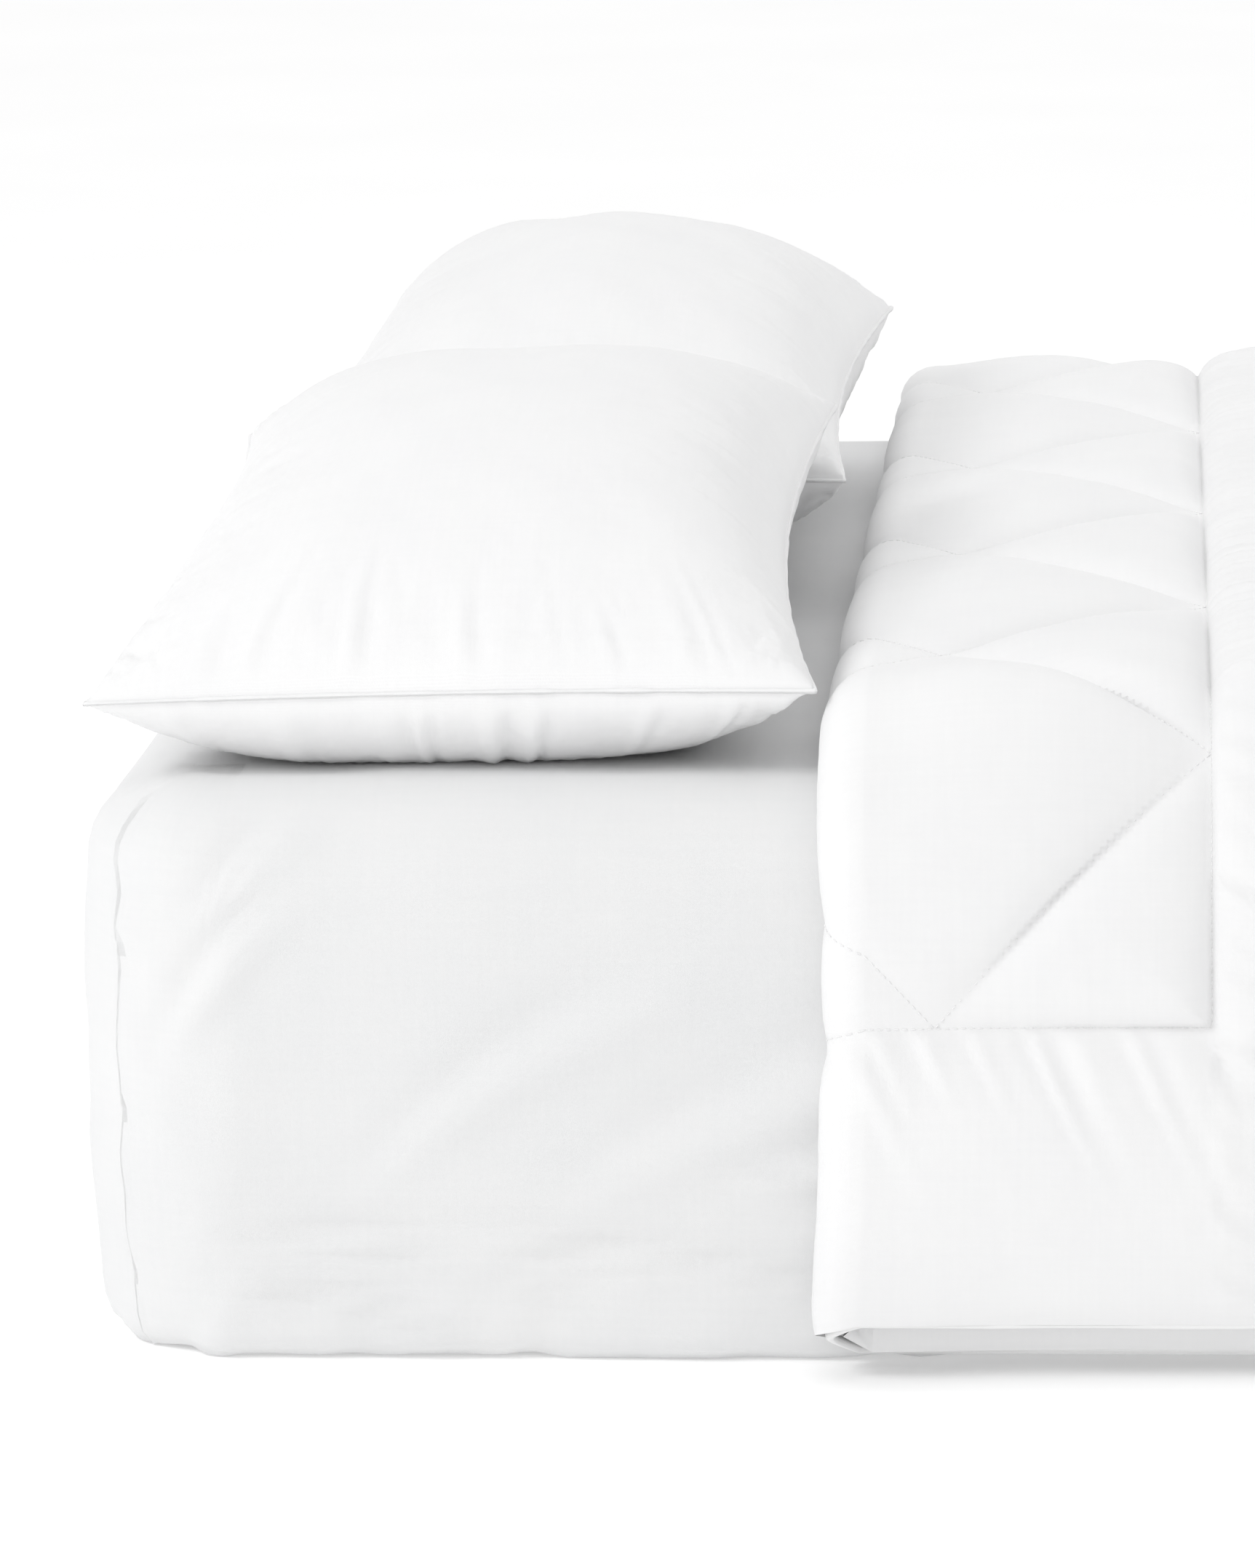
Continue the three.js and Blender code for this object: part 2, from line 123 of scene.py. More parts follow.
# %% Build a mesh from a grid
def new_mesh(name, points, quads):
    mesh = bpy.data.meshes.new(name)
    points, quads = np.asarray(points, float).reshape(-1, 3), np.asarray(quads, int)
    mesh.vertices.add(len(points))
    mesh.vertices.foreach_set("co", points.ravel())
    mesh.loops.add(quads.size)
    mesh.loops.foreach_set("vertex_index", quads.ravel())
    mesh.polygons.add(len(quads))
    mesh.polygons.foreach_set("loop_start", np.arange(len(quads)) * 4)
    mesh.polygons.foreach_set("use_smooth", np.full(len(quads), True))
    mesh.update(calc_edges=True)
    piece = bpy.data.objects.new(name, mesh)
    bpy.context.scene.collection.objects.link(piece)
    return piece


def grid_quads(index):
    a, b, c, d = index[:-1, :-1], index[1:, :-1], index[1:, 1:], index[:-1, 1:]
    return np.stack([a, b, c, d], -1).reshape(-1, 4)


def grid_index(points):
    return np.arange(points.shape[0] * points.shape[1]).reshape(points.shape[:2])


def keep_cloth_place(piece, across, along):
    """Stores where each point lies on the flat cloth, for the weave."""
    spot = piece.data.attributes.new("cloth", "FLOAT_VECTOR", "POINT")
    flat = np.stack([across.ravel(), along.ravel(), np.zeros(across.size)], -1)
    spot.data.foreach_set("vector", flat.ravel())


# %% [markdown]
# ## Wrinkles
# Cloth wrinkles come in three kinds. A seam that is shorter than the cloth sewn to it gathers it in
# short ripples. A pull between two points draws one long crease. And loose cloth has a slow, uneven
# roll. The last two have small functions of the place on the cloth; the first is left to Blender's
# cloth simulation, which finds gathers that no formula would.

# %% A slow roll and a long crease
def rolling(x, y, size, seed):
    """A slow random surface, from -1 to 1, with hills about size metres across."""
    table = np.random.default_rng(seed).uniform(-1, 1, (64, 64))
    x, y = x / size, y / size
    i, j = np.floor(x).astype(int), np.floor(y).astype(int)
    s, t = x - i, y - j
    s, t = s * s * (3 - 2 * s), t * t * (3 - 2 * t)

    def hill(a, b):
        return table[(i + a) % 64, (j + b) % 64]
    return ((hill(0, 0) * (1 - s) + hill(1, 0) * s) * (1 - t)
            + (hill(0, 1) * (1 - s) + hill(1, 1) * s) * t)


def crease(x, y, start, end, width):
    """One long fold from start to end: a ridge with a dip beside it, fading at both ends."""
    (x0, y0), (x1, y1) = start, end
    length = math.hypot(x1 - x0, y1 - y0)
    ux, uy = (x1 - x0) / length, (y1 - y0) / length
    t = np.clip(((x - x0) * ux + (y - y0) * uy) / length, 0, 1)
    side = (y - y0) * ux - (x - x0) * uy + 0.03 * length * np.sin(t * 5 + x0 * 9)
    wide = width * (0.8 + t)
    ridge = np.exp(-(side / wide) ** 2) - 0.7 * np.exp(-((side + 1.6 * wide) / wide) ** 2)
    return ridge * (4 * t * (1 - t)) ** 1.5


def tuck(inward, along, spot, length, tip, width):
    """A short fold that starts deep at a seam, at spot along it, and dies out towards its tip."""
    t = np.clip(inward / length, 0, 1)
    side = (along - spot - (tip - spot) * t) / (width * (1.25 - 0.6 * t))
    ridge = np.exp(-side ** 2) - 0.8 * np.exp(-(side - 1.5) ** 2)
    return ridge * (1 - np.exp(-inward / 0.004)) * (1 - t) ** 1.4


# %% Keep the short ripples
def blurred(grid, reach):
    """Each point becomes the average of the points within reach steps of it."""
    for axis in (0, 1):
        wide = [(0, 0), (0, 0)]
        wide[axis] = (reach + 1, reach)
        total = np.cumsum(np.pad(grid, wide, mode="edge"), axis=axis)
        ends = np.arange(2 * reach + 1, total.shape[axis])
        grid = (total.take(ends, axis) - total.take(ends - 2 * reach - 1, axis)) / (2 * reach + 1)
    return grid


def ripples(grid, reach):
    """What is left of a surface when its slow hills are taken away."""
    return grid - blurred(blurred(grid, reach), reach)


# %% Let cloth settle
def let_cloth_settle(points, quads, held, growth, pressure, stiffness, frames=14):
    """Runs Blender's cloth on a grid: held points stay, the rest grows and is blown outward."""
    trial = new_mesh("trial_cloth", points, quads)
    group = trial.vertex_groups.new(name="held")
    group.add(np.flatnonzero(held).tolist(), 1.0, "REPLACE")
    cloth = trial.modifiers.new("cloth", "CLOTH")
    rules = cloth.settings
    rules.vertex_group_mass = "held"
    rules.mass, rules.quality = 0.002, 4
    rules.tension_stiffness = rules.compression_stiffness = 15
    rules.bending_stiffness = stiffness
    rules.use_pressure = rules.use_pressure_volume = True
    rules.uniform_pressure_force, rules.target_volume = pressure, 0
    rules.shrink_min = -growth
    rules.effector_weights.gravity = 0
    cloth.collision_settings.use_collision = False
    cloth.point_cache.frame_start, cloth.point_cache.frame_end = 1, frames + 1
    for step in range(1, frames + 1):
        bpy.context.scene.frame_set(step)
    settled = trial.evaluated_get(bpy.context.evaluated_depsgraph_get()).data
    result = np.zeros(len(settled.vertices) * 3)
    settled.vertices.foreach_get("co", result)
    bpy.data.objects.remove(trial)
    bpy.context.scene.frame_set(1)
    return result.reshape(np.shape(points))


# %% [markdown]
# ## The duvet's path over the bed
# The duvet is one flat, stuffed cloth. It lies over the mattress, hangs down both long sides and
# the foot, and its head end is turned back over itself. A simulation could drop it, but the fold
# and the hems would land somewhere new each time. Instead each point of the flat duvet is carried
# along a path: along the turned-back flap, round the fold, on to the foot, and over the mattress's
# rounded edge. The sizes come from the plain model's own pieces.

# %% Measure the bed and the duvet
bed_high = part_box("fitted_sheet")[1]
bed_top = bed_high.z
edge_radius = 0.055                       # the mattress's rounded top edge
flat_x, flat_y = bed_high.x - edge_radius, bed_high.y - edge_radius
duvet_size, duvet_corner = 2.195, 0.17    # a square, and the radius of its corners
layer, bend, clearance = 0.028, 0.0155, 0.003
lower_middle = clearance + layer / 2
fold_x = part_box("duvet_back_cloth")[0].x
fold_centre = fold_x + bend + layer / 2
hem_x = fold_x + 0.422                    # the turned-back flap is this deep
flap_run, bend_run = hem_x - fold_centre, math.pi * bend
flap_wrap, lower_wrap, corner_lean = 0.120, 0.104, 0.62
print("the duvet is folded at x =", round(fold_x, 3), "and its hem lies at x =", round(hem_x, 3))

# %% Carry a point of the flat duvet to its place
def over_edge(x, y, wrap, off):
    past_x, past_y = np.maximum(0, x - flat_x), np.maximum(0, np.abs(y) - flat_y)
    run = np.hypot(past_x, past_y)
    safe = np.where(run > 0, run, 1)
    turn = np.minimum(run / wrap, math.pi / 2)
    drop = np.maximum(0, run - wrap * math.pi / 2)
    lean = corner_lean * np.sin(2 * np.arctan2(past_x, past_y))
    radius = edge_radius + off
    out = radius * np.sin(turn) + drop * np.sin(lean)
    down = radius * (1 - np.cos(turn)) + drop * np.cos(lean)
    return np.stack([np.minimum(x, flat_x) + out * past_x / safe,
                     np.sign(y) * (np.minimum(np.abs(y), flat_y) + out * past_y / safe),
                     bed_top + off - down], -1)


def on_duvet(s, v, w):
    """s runs along the duvet from the flap's hem, v across it, and w out of its face."""
    past = s - flap_run
    turn = np.clip(past / bend, 0, math.pi)
    radius = bend - w
    x = np.where(past <= 0, fold_centre - past,
                 np.where(past < bend_run, fold_centre - radius * np.sin(turn),
                          fold_centre + past - bend_run))
    wrap = flap_wrap + (lower_wrap - flap_wrap) * turn / math.pi
    place = over_edge(x, v, wrap, lower_middle + bend + radius * np.cos(turn))
    near_tip = np.clip((np.abs(v) - 0.92) / 0.18, 0, 1) ** 2      # the fold's two hanging ends
    place[..., 0] -= 0.010 * near_tip * np.exp(-((past - bend_run / 2) / 0.05) ** 2)
    return place


def round_corner(s, v):
    """Turns the four corner squares of the flat grid into quarter discs."""
    middle, r = duvet_size / 2, duvet_corner
    past_s = np.maximum(0, np.abs(s - middle) - (middle - r)) / r
    past_v = np.maximum(0, np.abs(v) - (middle - r)) / r
    inside = (past_s > 0) & (past_v > 0)
    near_s = past_s * np.sqrt(1 - past_v ** 2 / 2)
    near_v = past_v * np.sqrt(1 - past_s ** 2 / 2)
    return (np.where(inside, middle + np.sign(s - middle) * (middle - r + near_s * r), s),
            np.where(inside, np.sign(v) * (middle - r + near_v * r), v))


# %% [markdown]
# ## Quilting
# The duvet is sewn through along a plain border and, inside that, along diagonal lines that make a
# lattice of diamonds. Every seam holds the two cloths together and the filling swells between them,
# so the height of the cloth follows from one thing: how far a point is from its nearest seams.

# %% Distances to the seams
border = 0.185
steps_along, steps_across = 11, 10                    # half diamonds between the border seams
quilt_s = (duvet_size - 2 * border) / steps_along
quilt_v = (duvet_size - 2 * border) / steps_across
slope = quilt_s * quilt_v / math.hypot(quilt_s, quilt_v)
print("each diamond is", round(2 * quilt_s, 3), "by", round(2 * quilt_v, 3), "m")


def seam_distances(s, v):
    """The distance to the nearest slanted seams of each kind, and how far inside the border."""
    a, c = (s - border) / quilt_s, (v + duvet_size / 2 - border) / quilt_v
    slanted = []
    for across in (a + c, a - c):
        seam = (across - 1) / 2
        slanted.append(np.abs(seam - np.round(seam)) * 2 * slope)
    inside = np.minimum(np.minimum(a, steps_along - a) * quilt_s,
                        np.minimum(c, steps_across - c) * quilt_v)
    return slanted, inside


def edge_distance(s, v):
    to_s, to_v = np.minimum(s, duvet_size - s), duvet_size / 2 - np.abs(v)
    corner_s, corner_v = np.maximum(0, duvet_corner - to_s), np.maximum(0, duvet_corner - to_v)
    in_corner = (corner_s > 0) & (corner_v > 0)
    return np.where(in_corner, duvet_corner - np.hypot(corner_s, corner_v), np.minimum(to_s, to_v))


def fold_share(s):
    """1 round the fold, where the filling is bent and can't swell, and 0 away from it."""
    past = np.maximum(0, np.abs(s - flap_run - bend_run / 2) - bend_run / 2)
    return np.exp(-(past / 0.06) ** 2)


def stitched(s):
    """Half the duvet's thickness on a seam."""
    return 0.003 + 0.0055 * fold_share(s)


def seam_distance(s, v):
    slanted, inside = seam_distances(s, v)
    lattice = np.where(inside > 0, np.minimum(*slanted), 1)
    return np.minimum(np.minimum(lattice, np.abs(inside)), edge_distance(s, v))


def swell(s, v, loft, seed):
    """Half the duvet's thickness: thin on a seam, and about loft between the seams."""
    def rise(away, dome):
        away = np.maximum(away, 0)
        slow = np.minimum(1, away / dome)
        return 0.6 * (1 - np.exp(-away / 0.010)) + 0.4 * slow * (2 - slow)
    slanted, inside = seam_distances(s, v)
    field = rise(slanted[0], 0.12) * rise(slanted[1], 0.12) * rise(inside, 0.10)
    rim = rise(edge_distance(s, v), 0.08) * rise(-inside, 0.08)
    uneven = 1 + 0.16 * rolling(s, v, 0.17, seed) + 0.08 * rolling(s, v, 0.06, seed + 1)
    return stitched(s) + (loft - stitched(s)) * np.where(inside > 0, field, rim) * uneven


def on_seam(s, v):
    slanted, inside = seam_distances(s, v)
    close = 1e-4
    lattice = (inside > 0) & (np.minimum(*slanted) < close)
    return lattice | (np.abs(inside) < close) | (edge_distance(s, v) < close)


# %% Grid lines of the duvet
def seam_lines(parts, steps):
    """Grid lines across the whole duvet, with one on every seam."""
    rim = np.linspace(0, border, round(border / quilt_v * parts) + 1)
    inner = np.linspace(border, duvet_size - border, steps * parts + 1)
    return np.concatenate([rim[:-1], inner, (duvet_size - rim[:-1])[::-1]])


def fine_between(lines, start, end, coarse=0.03):
    """Keeps the lines from start to end, and spreads wide ones over the parts that never show."""
    kept = lines[(lines >= start - 1e-6) & (lines <= end + 1e-6)]
    before = np.linspace(0, kept[0], max(1, round(kept[0] / coarse)) + 1)[:-1]
    left = duvet_size - kept[-1]
    after = np.linspace(kept[-1], duvet_size, max(1, round(left / coarse)) + 1)[1:]
    return np.concatenate([before, kept, after])


# %% [markdown]
# ## The duvet's two cloths
# Two cloths make the duvet, sewn together through the filling. The back cloth shows on the turned
# flap, and the face cloth shows from the flap's hem to the foot. Each is first swelled by formula,
# then handed to the cloth simulation with its seams held: the cloth grows a little and is blown
# outward, so it gathers along every row of stitching as real quilting does.

# %% Tucks beside the border seam
def border_tucks(s, v, seed):
    """Slanting folds that fan out from the border seam, longest on the side of the border."""
    draw = np.random.default_rng(seed)
    total = np.zeros_like(s)
    ends = duvet_size - border
    for away, along in ((np.abs(v) - ends + duvet_size / 2, s), (border - s, v + duvet_size / 2),
                        (s - ends, v + duvet_size / 2)):
        spot = border - 0.17
        while spot < ends + 0.17:
            spot += draw.uniform(0.012, 0.040)
            length, high = draw.uniform(0.03, 0.14), draw.uniform(0.0012, 0.0046)
            wide = draw.uniform(0.004, 0.010)
            near = (np.abs(along - spot) < 0.12) & (away > 0) & (away < length)
            if near.any():
                fold = tuck(away[near], along[near], spot, length, spot - 0.45 * length, wide)
                total[near] += high * fold
    return total


# %% Gather a cloth between its seams
def gathers(s, v, points, outward, height, sign, parts, seed):
    """How the cloth moves as it settles between its seams; only the short ripples are kept."""
    held = on_seam(s, v)
    held[0], held[-1] = True, True
    quads = grid_quads(grid_index(points))[:, ::-sign]
    shaken = np.random.default_rng(seed).uniform(-0.0004, 0.0004, held.shape)
    start = points + outward * np.where(held, 0, shaken)[..., None]
    moved = let_cloth_settle(start, quads, held.ravel(), 0.05, 0.8, 0.5) - points
    out = (moved * outward).sum(-1)
    along = moved - out[..., None] * outward
    loose = 1 - np.exp(-seam_distance(s, v) / 0.006)
    rise = np.clip(1.3 * ripples(blurred(out, 1), round(parts / 5)), -0.006, 0.006) * loose
    rise += border_tucks(s, v, seed)
    rise = np.maximum(height + rise, 0.7 * stitched(s)) - height
    print("the cloth gathers by up to", round(float(np.abs(rise).max()) * 1000, 1), "mm")
    return outward * rise[..., None] + np.clip(along, -0.003, 0.003)


# %% Make one cloth of the duvet
def loft_on_bed(s, v):
    """The filling stands high on the bed's top and less where it hangs or is folded."""
    over_side, over_foot = (np.clip(past / 0.12, 0, 1) for past in (np.abs(v) - flat_y, s - foot_start))
    lying = 0.026 - 0.008 * np.maximum(over_side, over_foot)
    return lying * (1 - fold_share(s)) + 0.0140 * fold_share(s)


def quilted_cloth(name, parts, start, end, sign, pressed_loft, pressed, seed):
    """parts is how many grid cells each half diamond has; sign is 1 for the face, -1 for the back."""
    s, v = np.meshgrid(fine_between(seam_lines(parts, steps_along), start, end),
                       seam_lines(parts, steps_across) - duvet_size / 2, indexing="ij")
    s, v = round_corner(s, v)
    free = 1 - pressed(s)
    thin = np.minimum(swell(s, v, pressed_loft, seed), pressed_loft)
    height = swell(s, v, loft_on_bed(s, v), seed) * free + thin * (1 - free)
    outward = on_duvet(s, v, sign * 0.001 + 0 * s) - on_duvet(s, v, 0 * s)
    outward /= np.linalg.norm(outward, axis=-1, keepdims=True)
    points = on_duvet(s, v, sign * height)
    rows = np.flatnonzero(free[:, 0] > 0.02)
    part = slice(rows[0], rows[-1] + 1)
    moved = gathers(s[part], v[part], points[part], outward[part], height[part], sign, parts, seed)
    points[part] += moved * np.clip(free[part] * 4, 0, 1)[..., None]
    piece = new_mesh(name, points, grid_quads(grid_index(points))[:, ::-sign])
    keep_cloth_place(piece, s, v)
    print(name, "has", points.size // 3, "points, and", len(rows), "of its rows settled")
    return piece


# %% Sew the two cloths
def lower_layer(s):
    """0 on the flap and the fold, 1 where the duvet's back lies on the bed."""
    return np.clip((s - flap_run - 0.75 * bend_run) / 0.02, 0, 1)


def under_flap(s):
    """1 where the flap covers the face cloth, 0 beyond the flap's hem."""
    return 1 - np.clip((fold_centre + s - flap_run - bend_run - hem_x + 0.02) / 0.04, 0, 1)


foot_start = flap_run + bend_run + flat_x - fold_centre
back_end, face_start = flap_run + bend_run + 0.03, 0.8      # beyond these, nothing ever shows
back = quilted_cloth("duvet_back", 40, 0, back_end, -1, lower_middle - 0.002, lower_layer, 3)
face = quilted_cloth("duvet_face", 20, face_start, duvet_size, 1, bend - 0.001, under_flap, 7)
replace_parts(back, "duvet_back_cloth")
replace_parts(face, "duvet_face_cloth", "duvet_filling")
for piece in (back, face):
    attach(piece, "duvet")

# %% [markdown]
# ## Piping
# A thin cord, wrapped in the same cotton, is sewn into the edge all round. It is a tube along the
# duvet's outline. The thread pulls it in between stitches, so its path wavers by a millimetre.

# %% A tube along a path
def tube(name, path, radius, sides=8):
    """A closed loop of cord; radius is one number, or one for each point of the path."""
    ahead = np.roll(path, -1, 0) - np.roll(path, 1, 0)
    ahead /= np.linalg.norm(ahead, axis=1, keepdims=True)
    up = np.where(np.abs(ahead[:, 2:]) < 0.9, [[0, 0, 1.0]], [[1.0, 0, 0]])
    side = np.cross(ahead, up)
    side /= np.linalg.norm(side, axis=1, keepdims=True)
    over = np.cross(side, ahead)
    angle = np.arange(sides) * 2 * math.pi / sides
    ring = (np.cos(angle)[None, :, None] * side[:, None]
            + np.sin(angle)[None, :, None] * over[:, None])
    radius = np.broadcast_to(radius, len(path))
    points = path[:, None] + ring * radius[:, None, None]
    index = grid_index(points)
    index = np.concatenate([index, index[:, :1]], 1)
    index = np.concatenate([index, index[:1]], 0)
    piece = new_mesh(name, points, grid_quads(index))
    run = np.concatenate([[0], np.cumsum(np.linalg.norm(np.diff(path, axis=0), axis=1))])
    keep_cloth_place(piece, np.repeat(run, sides), np.tile(angle * 0.002, len(path)))
    return piece


# %% Make the piping
def outline(count):
    """Points round the duvet's flat outline."""
    half, r = duvet_size / 2, duvet_corner
    straight = 2 * (half - r)
    quarter = math.pi * r / 2
    t = np.arange(count) / count * 4 * (straight + quarter)
    side = np.floor(t / (straight + quarter)).astype(int)
    t = t - side * (straight + quarter)
    turn = np.maximum(t - straight, 0) / r
    x = np.where(t < straight, half - r - t, -(half - r) - r * np.sin(turn))
    y = half - r + r * np.cos(turn)
    spin = side * math.pi / 2
    return (duvet_size / 2 + x * np.cos(spin) - y * np.sin(spin),
            x * np.sin(spin) + y * np.cos(spin))


edge_s, edge_v = outline(1500)
waver = 0.0012 * rolling(edge_s, edge_v, 0.035, 31)
piping = tube("duvet_piping_cord", on_duvet(edge_s, edge_v, waver), 0.0032)
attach(piping, "duvet")
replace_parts(piping, "duvet_piping")
print("the piping has", len(edge_s), "rings")

# %% [markdown]
# ## Stitches
# The rows of stitching are what the eye reads as quilting. Each stitch is made as a tiny rounded
# grain of thread lying along its seam, a few millimetres from the next. A drawn line in the
# material would be cheaper, but it would stay flat under a close light.

# %% Lay stitches along a line
thread, stitch, stitch_gap = 0.00045, 0.0032, 0.0018


def stitches(name, lines):
    """lines is a list of (starts, ends, outward directions), with one row for each stitch."""
    starts = np.concatenate([a for a, b, n in lines])
    ends = np.concatenate([b for a, b, n in lines])
    normals = np.concatenate([n for a, b, n in lines])
    along = ends - starts
    length = np.linalg.norm(along, axis=1, keepdims=True)
    along /= np.maximum(length, 1e-9)
    side = np.cross(along, normals)
    corners = []
    for place, size in ((0.0, 0.35), (0.22, 1.0), (0.78, 1.0), (1.0, 0.35)):
        centre = starts + along * length * place
        for a, b in ((1, 0), (0, 1), (-1, 0), (0, -1)):
            corners.append(centre + (side * a + normals * b) * thread * size)
    points = np.stack(corners, 1)
    quads = []
    for ring in range(3):
        for k in range(4):
            a, b = ring * 4 + k, ring * 4 + (k + 1) % 4
            quads.append([a, b, b + 4, a + 4])
    quads += [[3, 2, 1, 0], [12, 13, 14, 15]]
    every = np.arange(len(points))[:, None, None] * 16 + np.array(quads)[None]
    return new_mesh(name, points, every.reshape(-1, 4))


def seam_row(start, end, sign):
    """The stitches of one straight seam."""
    start, end = np.array(start, float), np.array(end, float)
    run = np.linalg.norm(end - start)
    count = int(run / (stitch + stitch_gap))
    first = (np.arange(count) + 0.2) / count
    last = first + stitch / run
    ends = []
    for t in (first, last):
        at = start + (end - start) * t[:, None]
        ends.append(on_duvet(at[:, 0], at[:, 1], sign * (stitched(at[:, 0]) + 0.0003)))
    at = start + (end - start) * first[:, None]
    out = on_duvet(at[:, 0], at[:, 1], np.full(count, sign * 0.004)) - on_duvet(
        at[:, 0], at[:, 1], np.full(count, sign * 0.003))
    return ends[0], ends[1], out / np.linalg.norm(out, axis=1, keepdims=True)


# %% Sew the duvet
def quilting_rows():
    """Both ends of every seam on the flat duvet."""
    low, high = border, duvet_size - border
    corners = [(low, low), (high, low), (high, high), (low, high)]
    rows = [(corners[k], corners[(k + 1) % 4]) for k in range(4)]
    for odd in range(1, steps_along + steps_across, 2):
        ends = [(a, odd - a) for a in (max(0, odd - steps_across), min(steps_along, odd))]
        rows.append([(low + a * quilt_s, low + c * quilt_v) for a, c in ends])
        rows.append([(low + a * quilt_s, high - c * quilt_v) for a, c in ends])
    return [((s0, v0 - duvet_size / 2), (s1, v1 - duvet_size / 2)) for (s0, v0), (s1, v1) in rows]


def clip_row(row, low, high):
    """The part of a seam whose s is from low to high."""
    (s0, v0), (s1, v1) = row
    if s0 > s1:
        s0, v0, s1, v1 = s1, v1, s0, v0
    if s1 <= low or s0 >= high:
        return None
    if s1 - s0 < 1e-6:
        return (s0, v0), (s1, v1)
    a, b = max(0, (low - s0) / (s1 - s0)), min(1, (high - s0) / (s1 - s0))
    return (s0 + (s1 - s0) * a, v0 + (v1 - v0) * a), (s0 + (s1 - s0) * b, v0 + (v1 - v0) * b)


shown_back = [clip_row(row, 0, flap_run + 0.8 * bend_run) for row in quilting_rows()]
shown_face = [clip_row(row, face_start, duvet_size) for row in quilting_rows()]
sewing = stitches("duvet_stitches",
                  [seam_row(*row, -1) for row in shown_back if row]
                  + [seam_row(*row, 1) for row in shown_face if row])
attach(sewing, "duvet")
print("the quilting has", len(sewing.data.vertices) // 16, "stitches in view")

# %% [markdown]
# ## Pillows
# A pillow is two equal cloths sewn along their edge and stuffed, so it is thick in the middle, thin
# at the seam, and its sides pull in between the corners. Four corners and two curves give the seam,
# and both cloths rise from it. The near pillow leans on the far one. The simulation then adds the
# short ripples along the seam.

# %% The shape of a pillow
def pillow_shape(head_near, head_far, foot_near, foot_far, thick, waist, ends):
    """Corners and thick are in millimetres; waist and ends are how far the edges pull in."""
    return {"corners": [np.array(c) / 1000 for c in (head_near, head_far, foot_near, foot_far)],
            "thick": thick / 1000, "waist": waist, "ends": ends}


near_shape = pillow_shape((-1000, -670, 407), (-968, -112, 485), (-553, -670, 413),
                          (-566, -88, 499), thick=104, waist=0.12, ends=0.03)
far_shape = pillow_shape((-950, -92, 452), (-942, 558, 478), (-560, -100, 449),
                         (-552, 558, 478), thick=112, waist=0.10, ends=0.03)


def pillow_seam(shape, u, v):
    head_near, head_far, foot_near, foot_far = shape["corners"]
    across = ((1 + u * (1 - shape["waist"] * (1 - v * v))) / 2)[..., None]
    along = ((1 + v * (1 - shape["ends"] * (1 - u * u))) / 2)[..., None]
    near = head_near + (foot_near - head_near) * across
    far = head_far + (foot_far - head_far) * across
    return near + (far - near) * along


def crown(u, v):
    return np.sqrt(np.maximum(0, (1 - np.abs(u) ** 2.4) * (1 - np.abs(v) ** 2.4)))


case_cloth = 0.002
resting = bed_top + 0.0004


def far_pillow_top(x, y):
    """How high the far pillow and the bed hold the near pillow up at (x, y)."""
    head_near, head_far, foot_near, foot_far = far_shape["corners"]
    half_x, half_y = (foot_near[0] - head_near[0]) / 2, (head_far[1] - head_near[1]) / 2
    u, v = np.zeros_like(x), np.zeros_like(x)
    for step in range(8):
        at = pillow_seam(far_shape, u, v)
        u = np.clip(u + (x - at[..., 0]) / half_x, -1, 1)
        v = np.clip(v + (y - at[..., 1]) / half_y, -1, 1)
    edge = pillow_seam(far_shape, u, v)
    share = np.maximum(0, 1 - np.hypot(x - edge[..., 0], y - edge[..., 1]) / far_shape["thick"])
    top = edge[..., 2] + far_shape["thick"] * crown(u, v) + case_cloth + 0.010
    return resting + (top - resting) * share


# %% Gathers and the closing hem
half_case_x, half_case_y = 0.2235, 0.285        # half the case when it is plumped up
half_flat_x, half_flat_y = 0.255, 0.37          # half the case laid flat


def seam_gathers(u, v, seed):
    """Tucks that start at the seam and point inward, on all four sides."""
    draw = np.random.default_rng(seed)
    x, y = u * half_case_x, v * half_case_y
    total = np.zeros_like(u)
    sides = ((x, half_case_y + y, half_case_x), (x, half_case_y - y, half_case_x),
             (y, half_case_x + x, half_case_y), (y, half_case_x - x, half_case_y))
    for along, inward, half in sides:
        spot = -half
        while spot < half:
            spot += draw.uniform(0.018, 0.070)
            length = draw.uniform(0.035, 0.105)
            tip = spot * (1 - length / 0.5) + draw.uniform(-0.012, 0.012)
            high, wide = draw.uniform(0.0012, 0.0040), draw.uniform(0.003, 0.008)
            total += high * tuck(inward, along, spot, length, tip, wide)
    return total


def closing_hem(u, v):
    """The case's opening is hemmed beside the near seam, which leaves a low step in the cloth."""
    away = (1 + v) * half_case_y
    step = 1 / (1 + np.exp((away - 0.0125) / 0.0009))
    return 0.0014 * step * (1 - np.exp(-away / 0.003)) * np.clip((u + 0.45) * 5, 0, 1)


# %% Sew two cloths along their rim
def sewn_pair(top, bottom):
    """The points and quads of both cloths, and where each cloth's points are."""
    upper = grid_index(top)
    rim = np.zeros(upper.shape, bool)
    rim[0], rim[-1], rim[:, 0], rim[:, -1] = True, True, True, True
    lower = np.where(rim, upper, np.cumsum(~rim.ravel()).reshape(rim.shape) - 1 + upper.size)
    points = np.concatenate([top.reshape(-1, 3), bottom[~rim]])
    quads = np.concatenate([grid_quads(upper), grid_quads(lower)[:, ::-1]])
    return points, quads, upper, lower, rim


